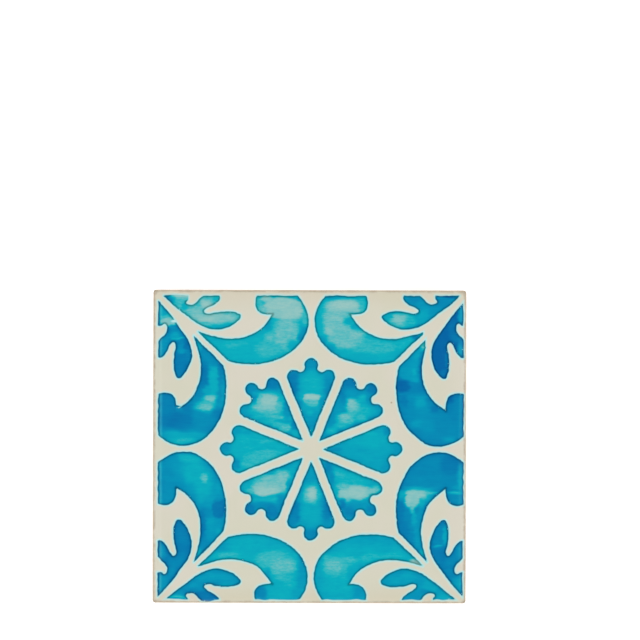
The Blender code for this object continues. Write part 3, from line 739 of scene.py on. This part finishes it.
faces = tile.data.polygons
corner_counts = across_mesh(faces, "loop_total", 1, np.int32)
corner_face = np.repeat(np.arange(len(faces)), corner_counts)
corner_place = solid[across_mesh(tile.data.loops, "vertex_index", 1, np.int32)]
facing = across_mesh(faces, "normal", 3, np.float32)[corner_face]
on_face = across_mesh(faces, "center", 3, np.float32)[corner_face, 2] > WALL_TOP
on_wall = ~on_face & (np.abs(facing[:, 2]) < 0.5)
spread = corner_place[:, :2] / SIDE + 0.5
face_map = MAP_MARGIN + FACE_SHARE * spread
back_map = (MAP_MARGIN, SECOND_PART) + BACK_SHARE * spread
wall_number = 2 * (np.abs(facing[:, 1]) > np.abs(facing[:, 0])) + (facing[:, :2].sum(axis=1) < 0)
wall_run = np.where(wall_number < 2, spread[:, 1], spread[:, 0])
wall_map = np.column_stack([
    SECOND_PART + STRIP_PITCH * wall_number + STRIP_SHARE * corner_place[:, 2] / WALL_TOP,
    MAP_MARGIN + FACE_SHARE * wall_run,
])
on_map = np.where(on_face[:, None], face_map, back_map)
on_map = np.where(on_wall[:, None], wall_map, on_map)
tile.data.uv_layers.new(name="OFBake").data.foreach_set("uv", on_map.ravel().astype(np.float32))

# The fired clay, as a group that the walls and the back both use: pale buff, with darker grains, fine
# pores and faint sweeps of colour from the pressing.


def linear(red, green, blue):
    """A colour as an eye picks it, 0 to 255, as the light it sends back."""
    parts = [part / 255 for part in (red, green, blue)]
    return tuple(p / 12.92 if p <= 0.04045 else ((p + 0.055) / 1.055) ** 2.4 for p in parts) + (1.0,)


def add(tree, kind, inputs=None, **settings):
    """A node with its settings, and each input either joined to a socket or set to a value."""
    made = tree.nodes.new(kind)
    for name, value in settings.items():
        setattr(made, name, value)
    for name, value in (inputs or {}).items():
        if isinstance(value, bpy.types.NodeSocket):
            tree.links.new(value, made.inputs[name])
        else:
            made.inputs[name].default_value = value
    return made


def sum_of(tree, operation, first, second=0.0):
    return add(tree, "ShaderNodeMath", {0: first, 1: second}, operation=operation).outputs[0]


def fade(tree, value, start, end, low=0.0, high=1.0):
    """Runs smoothly from low to high as the value goes from start to end."""
    inputs = {"Value": value, "From Min": start, "From Max": end, "To Min": low, "To Max": high}
    return add(tree, "ShaderNodeMapRange", inputs, interpolation_type="SMOOTHSTEP").outputs[0]


def tint(tree, share, first, second):
    return add(tree, "ShaderNodeMix", {0: share, 6: first, 7: second}, data_type="RGBA").outputs[2]


def object_noise(tree, size, detail=3.0, stretch=(1, 1, 1), seed=0.0):
    """Noise fixed to the tile, with features of this size in millimetres, as a value of about 0.2 to 0.8."""
    place = add(tree, "ShaderNodeTexCoord").outputs["Object"]
    scale = [1 / (size * MM * s) for s in stretch]
    settings = {"Vector": place, "Scale": scale, "Location": (seed, 2 * seed, seed)}
    moved = add(tree, "ShaderNodeMapping", settings)
    inputs = {"Vector": moved.outputs[0], "Scale": 1.0, "Detail": detail, "Roughness": 0.55}
    return add(tree, "ShaderNodeTexNoise", inputs).outputs["Fac"]


def attribute(tree, name):
    return add(tree, "ShaderNodeAttribute", attribute_name=name).outputs["Fac"]


def new_group(name, outputs):
    tree = bpy.data.node_groups.new(name, "ShaderNodeTree")
    for label, kind in outputs:
        tree.interface.new_socket(label, in_out="OUTPUT", socket_type=kind)
    return tree


def group_outputs(tree, values):
    out = tree.nodes.new("NodeGroupOutput")
    for name, socket in values.items():
        tree.links.new(socket, out.inputs[name])


CLAY = linear(186, 160, 132)
CLAY_PALE = linear(203, 182, 156)
CLAY_DARK = linear(154, 125, 97)
GRAIN_SHARE = 0.55
PORE_SHARE = 0.6

clay_tree = new_group("fired_clay", [
    ("Color", "NodeSocketColor"), ("Roughness", "NodeSocketFloat"), ("Height", "NodeSocketFloat"),
])
sweep_noise = object_noise(clay_tree, size=22, detail=4, stretch=(1, 0.5, 1), seed=3)
sweep = fade(clay_tree, sweep_noise, 0.35, 0.65)
grains = fade(clay_tree, object_noise(clay_tree, size=0.9, detail=4, seed=7), 0.60, 0.72)
pores = fade(clay_tree, object_noise(clay_tree, size=0.45, detail=2, seed=9), 0.66, 0.76)
clay_colour = tint(clay_tree, sweep, CLAY, CLAY_PALE)
clay_colour = tint(clay_tree, sum_of(clay_tree, "MULTIPLY", grains, GRAIN_SHARE), clay_colour, CLAY_DARK)
clay_colour = tint(clay_tree, sum_of(clay_tree, "MULTIPLY", pores, PORE_SHARE), clay_colour, CLAY_DARK)
clay_height = sum_of(clay_tree, "SUBTRACT", object_noise(clay_tree, size=1.6, detail=5, seed=5), pores)
clay_rough = fade(clay_tree, object_noise(clay_tree, size=3, detail=3, seed=4), 0.3, 0.7, 0.78, 0.95)
group_outputs(clay_tree, {"Color": clay_colour, "Roughness": clay_rough, "Height": clay_height})

# The finish of the face and the walls: an opaque cream tin glaze with the paint sunk into it. The paint
# is darkest at its outline, bleeds a pale ring into the glaze, and has brush streaks, grain and clusters
# of nicks. The glaze thins on the arris and runs down the bare clay of the walls. The arris is darkened
# partly by the thin glaze and partly by painted shade where the face turns down. Towards the top and
# bottom sides the glaze is painted darker and warmer, a painted shade where the side lights reach less.
GLAZE = linear(209, 207, 188)
GLAZE_ROSY = linear(213, 208, 193)
GLAZE_THIN_AND_SHADE = linear(162, 147, 124)
GLAZE_END_SHADE = linear(200, 178, 142)
BLEED = linear(170, 226, 230)
FILM = linear(90, 200, 208)
POOLED = (0.45, 0.50, 0.48, 1.0)
PIN_DARK = linear(168, 150, 122)
PINHOLE = (ROSETTE_MIDDLE[0] + 35.8, ROSETTE_MIDDLE[1] + 20.9)
PAINT_SHADES = (
    (0.00, linear(150, 194, 189)), (0.15, linear(122, 188, 188)), (0.30, linear(59, 180, 187)),
    (0.42, linear(12, 172, 186)), (0.60, linear(8, 148, 181)), (0.80, linear(8, 123, 172)),
    (1.00, linear(8, 99, 161)),
)
STREAK_STRENGTH = 0.022
FLOW_STRENGTH = 0.02
CLOUD_STRENGTH = 0.02
PAINT_GRAIN = 0.035
POOL_LINE_FROM = 0.1
POOL_LINE_TO = 1.12
PAINT_EDGE_FROM = -0.24
PAINT_EDGE_TO = 0.04
NICKS_FADE_FROM = 0.3
NICKS_FADE_TO = 0.8
BLEED_FROM = -1.3
BLEED_TO = -0.38
BLEED_SHARE = 0.75
FILM_FROM = -0.45
FILM_TO = -0.12
FILM_SHARE = 0.7
END_SHADE_FROM = 60 * MM
END_SHADE_TO = 69 * MM
END_SHADE_SHARE = 0.18
THIN_AND_SHADE_FROM = 0.15
THIN_AND_SHADE_TO = 1.5
THIN_AND_SHADE_SHARE = 0.9
PIN_RADIUS = 0.2 * MM
PIN_FADE = 0.6 * MM
PIN_SHARE = 0.8
RUN_LOWEST = 3.4 * MM
RUN_HIGHEST = 6.0 * MM
RUN_SOFTNESS = 0.25 * MM
GLAZE_PEEL = 0.05 * MM
CLAY_TOOTH = 0.12 * MM

glaze = bpy.data.materials.new("painted_tin_glaze")
glaze.use_nodes = True
tree = glaze.node_tree
shader = tree.nodes["Principled BSDF"]
depth_sunk = attribute(tree, "paint_depth")
side_gap = attribute(tree, "from_side")
place = add(tree, "ShaderNodeSeparateXYZ", {0: add(tree, "ShaderNodeTexCoord").outputs["Object"]})

ground = tint(tree, fade(tree, object_noise(tree, size=28, detail=2, seed=1), 0.35, 0.65), GLAZE, GLAZE_ROSY)
# Painted shade: the glaze is made darker and warmer towards the top and bottom sides, which the side lights
# reach less.
painted_end_shade = fade(tree, sum_of(tree, "ABSOLUTE", place.outputs["Y"]), END_SHADE_FROM, END_SHADE_TO, 0.0, END_SHADE_SHARE)
streak = object_noise(tree, size=0.6, detail=3, stretch=(9, 1, 1), seed=2)
flow = object_noise(tree, size=2.6, detail=4, stretch=(4, 1, 1), seed=6)
cloud = object_noise(tree, size=5, detail=3, seed=8)
stirred = attribute(tree, "shade")
for mottle, strength in ((streak, STREAK_STRENGTH), (flow, FLOW_STRENGTH), (cloud, CLOUD_STRENGTH)):
    stirred = sum_of(tree, "ADD", stirred, fade(tree, mottle, 0.25, 0.75, -strength, strength))
grain_noise = object_noise(tree, size=0.7, detail=2, stretch=(2.2, 1, 1), seed=23)
grain = fade(tree, grain_noise, 0.3, 0.7, -PAINT_GRAIN, PAINT_GRAIN)
grain = sum_of(tree, "MULTIPLY", grain, fade(tree, attribute(tree, "shade"), 0.6, 0.3))
stirred = sum_of(tree, "ADD", stirred, grain)
ramp = add(tree, "ShaderNodeValToRGB", {"Fac": stirred})
while len(ramp.color_ramp.elements) < len(PAINT_SHADES):
    ramp.color_ramp.elements.new(1.0)
for element, (shade_at, colour) in zip(ramp.color_ramp.elements, PAINT_SHADES):
    element.position = shade_at
    element.color = colour
pool_share = fade(tree, attribute(tree, "pool_depth"), POOL_LINE_FROM, POOL_LINE_TO, 1.0, 0.0)
pooled = add(tree, "ShaderNodeMix", {0: pool_share, 6: ramp.outputs["Color"], 7: POOLED},
             data_type="RGBA", blend_type="MULTIPLY").outputs[2]
bleed_share = fade(tree, depth_sunk, BLEED_FROM, BLEED_TO, 0.0, BLEED_SHARE)
ground = tint(tree, bleed_share, ground, BLEED)
ground = tint(tree, fade(tree, depth_sunk, FILM_FROM, FILM_TO, 0.0, FILM_SHARE), ground, FILM)
ground = tint(tree, painted_end_shade, ground, GLAZE_END_SHADE)
nicks = fade(tree, object_noise(tree, size=1.0, detail=1, seed=24), 0.66, 0.73)
nick_clusters = fade(tree, object_noise(tree, size=13, detail=1, seed=25), 0.52, 0.62)
nicks = sum_of(tree, "MULTIPLY", nicks, nick_clusters)
nicks = sum_of(tree, "MULTIPLY", nicks, fade(tree, depth_sunk, NICKS_FADE_TO, NICKS_FADE_FROM))
painted = fade(tree, depth_sunk, PAINT_EDGE_FROM, PAINT_EDGE_TO)
painted = sum_of(tree, "MULTIPLY", painted, sum_of(tree, "SUBTRACT", 1.0, nicks))
surface = tint(tree, painted, ground, pooled)

# Thin glaze and painted shade: the rim darkens towards the side, partly clay through thin glaze, partly
# painted shade.
thin_and_shade_wander = fade(tree, object_noise(tree, size=3, detail=3, seed=12), 0.2, 0.8, -0.3, 0.3)
thin_and_shade_from_side = sum_of(tree, "ADD", side_gap, thin_and_shade_wander)
thin_and_shade_share = fade(tree, thin_and_shade_from_side, THIN_AND_SHADE_FROM, THIN_AND_SHADE_TO, THIN_AND_SHADE_SHARE, 0.0)
thin_and_shade_share = sum_of(tree, "MULTIPLY", thin_and_shade_share, fade(tree, bleed_share, 0.0, 0.6, 1.0, 0.6))
surface = tint(tree, thin_and_shade_share, surface, GLAZE_THIN_AND_SHADE)
pin = add(tree, "ShaderNodeVectorMath", {
    0: add(tree, "ShaderNodeTexCoord").outputs["Object"],
    1: (PINHOLE[0] * MM, PINHOLE[1] * MM, FACE_HEIGHT),
}, operation="DISTANCE").outputs["Value"]
surface = tint(tree, fade(tree, pin, PIN_RADIUS, PIN_FADE, PIN_SHARE, 0.0), surface, PIN_DARK)

clay = add(tree, "ShaderNodeGroup", node_tree=clay_tree)
run_noise = object_noise(tree, size=9, detail=1, stretch=(1, 1, 6), seed=14)
run_edge = fade(tree, run_noise, 0.3, 0.7, RUN_LOWEST, RUN_HIGHEST)
below_run = sum_of(tree, "SUBTRACT", place.outputs["Z"], run_edge)
bare = fade(tree, below_run, RUN_SOFTNESS, -RUN_SOFTNESS)
surface = tint(tree, bare, surface, clay.outputs["Color"])
tree.links.new(surface, shader.inputs["Base Color"])

glaze_rough = fade(tree, object_noise(tree, size=7, detail=3, seed=15), 0.3, 0.7, 0.10, 0.17)
rough = add(tree, "ShaderNodeMix", {0: bare, 2: glaze_rough, 3: clay.outputs["Roughness"]}).outputs[0]
tree.links.new(rough, shader.inputs["Roughness"])
peel = sum_of(tree, "MULTIPLY", object_noise(tree, size=1.4, detail=2, seed=16), 0.10)
height = add(tree, "ShaderNodeMix", {0: bare, 2: peel, 3: clay.outputs["Height"]}).outputs[0]
bump = add(tree, "ShaderNodeBump", {"Height": height, "Distance": GLAZE_PEEL, "Strength": 0.6})
tree.links.new(bump.outputs[0], shader.inputs["Normal"])
shader.inputs["IOR"].default_value = 1.5

# The finish of the back: the same clay, left bare, with a deeper tooth than the walls have. The whole piece
# then takes the place of the CAD tile.
BACK_LEVEL = 1.05 * CHAMFER

bare_clay = bpy.data.materials.new("bare_fired_clay")
bare_clay.use_nodes = True
tree = bare_clay.node_tree
shader = tree.nodes["Principled BSDF"]
clay = add(tree, "ShaderNodeGroup", node_tree=clay_tree)
tree.links.new(clay.outputs["Color"], shader.inputs["Base Color"])
tree.links.new(clay.outputs["Roughness"], shader.inputs["Roughness"])
tooth = {"Height": clay.outputs["Height"], "Distance": CLAY_TOOTH, "Strength": 0.7}
bump = add(tree, "ShaderNodeBump", tooth)
tree.links.new(bump.outputs[0], shader.inputs["Normal"])

tile.data.materials.clear()
tile.data.materials.append(glaze)
tile.data.materials.append(bare_clay)
for polygon in tile.data.polygons:
    polygon.material_index = 1 if polygon.center.z < BACK_LEVEL else 0

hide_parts("tile")
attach(tile, "root")

# The floor: one wide white sheet that glows faintly, as if lit from beneath, so that no shadow shows
# beside the tile.
FLOOR_SIDE = 6.0
FLOOR_GLOW = 0.3
PAPER = linear(249, 249, 249)
PAPER_LIGHT = linear(251, 251, 251)

bpy.ops.object.select_all(action="DESELECT")
bpy.ops.mesh.primitive_plane_add(size=FLOOR_SIDE)
floor = bpy.context.object
floor.name = "floor"
paper = bpy.data.materials.new("white_paper")
paper.use_nodes = True
tree = paper.node_tree
shader = tree.nodes["Principled BSDF"]
paper_colour = tint(tree, object_noise(tree, size=60, detail=2, seed=18), PAPER, PAPER_LIGHT)
tree.links.new(paper_colour, shader.inputs["Base Color"])
shader.inputs["Roughness"].default_value = 0.9
shader.inputs["Specular IOR Level"].default_value = 0.2
shader.inputs["Emission Color"].default_value = (1.0, 1.0, 1.0, 1.0)
shader.inputs["Emission Strength"].default_value = FLOOR_GLOW
floor.data.materials.append(paper)

# The light: a white tent, open and dark straight above where the camera looks in, and brighter at the
# left and right than at the top and bottom. Two narrow strips draw the thin highlight along the left and
# right rims.
TENT_STRENGTH = 1.82
TENT_DARK_TO = 0.72
TENT_DARK_FROM = 0.80
SIDE_SHARE = 0.12
STRIP_HEIGHT = 1.2
STRIP_WIDTH = 0.20
STRIP_LENGTH = 1.6
LEFT_LEAN = -21.0
LEFT_POWER = 0.6
RIGHT_LEAN = 28.9
RIGHT_POWER = 0.25

world = bpy.data.worlds.new("tent")
world.use_nodes = True
bpy.context.scene.world = world
tree = world.node_tree
sky = tree.nodes["Background"]
sky.inputs["Color"].default_value = (1, 1, 1, 1)
direction = add(tree, "ShaderNodeSeparateXYZ", {0: add(tree, "ShaderNodeTexCoord").outputs["Generated"]})
opening = fade(tree, direction.outputs["Z"], TENT_DARK_TO, TENT_DARK_FROM, 1.0, 0.0)
sideways = sum_of(tree, "SUBTRACT", sum_of(tree, "MULTIPLY", direction.outputs["X"], direction.outputs["X"]),
                  sum_of(tree, "MULTIPLY", direction.outputs["Y"], direction.outputs["Y"]))
sided = sum_of(tree, "ADD", 1.0, sum_of(tree, "MULTIPLY", sideways, SIDE_SHARE))
strength = sum_of(tree, "MULTIPLY", sum_of(tree, "MULTIPLY", opening, sided), TENT_STRENGTH)
tree.links.new(strength, sky.inputs["Strength"])

for name, degrees, power in (("left_strip", LEFT_LEAN, LEFT_POWER), ("right_strip", RIGHT_LEAN, RIGHT_POWER)):
    strip = bpy.data.lights.new(name, "AREA")
    strip.shape = "RECTANGLE"
    strip.size = STRIP_WIDTH
    strip.size_y = STRIP_LENGTH
    strip.energy = power
    lamp = bpy.data.objects.new(name, strip)
    lean = math.radians(degrees)
    lamp.location = (STRIP_HEIGHT * math.tan(lean), 0, STRIP_HEIGHT)
    lamp.rotation_euler = (0, lean, 0)
    bpy.context.scene.collection.objects.link(lamp)
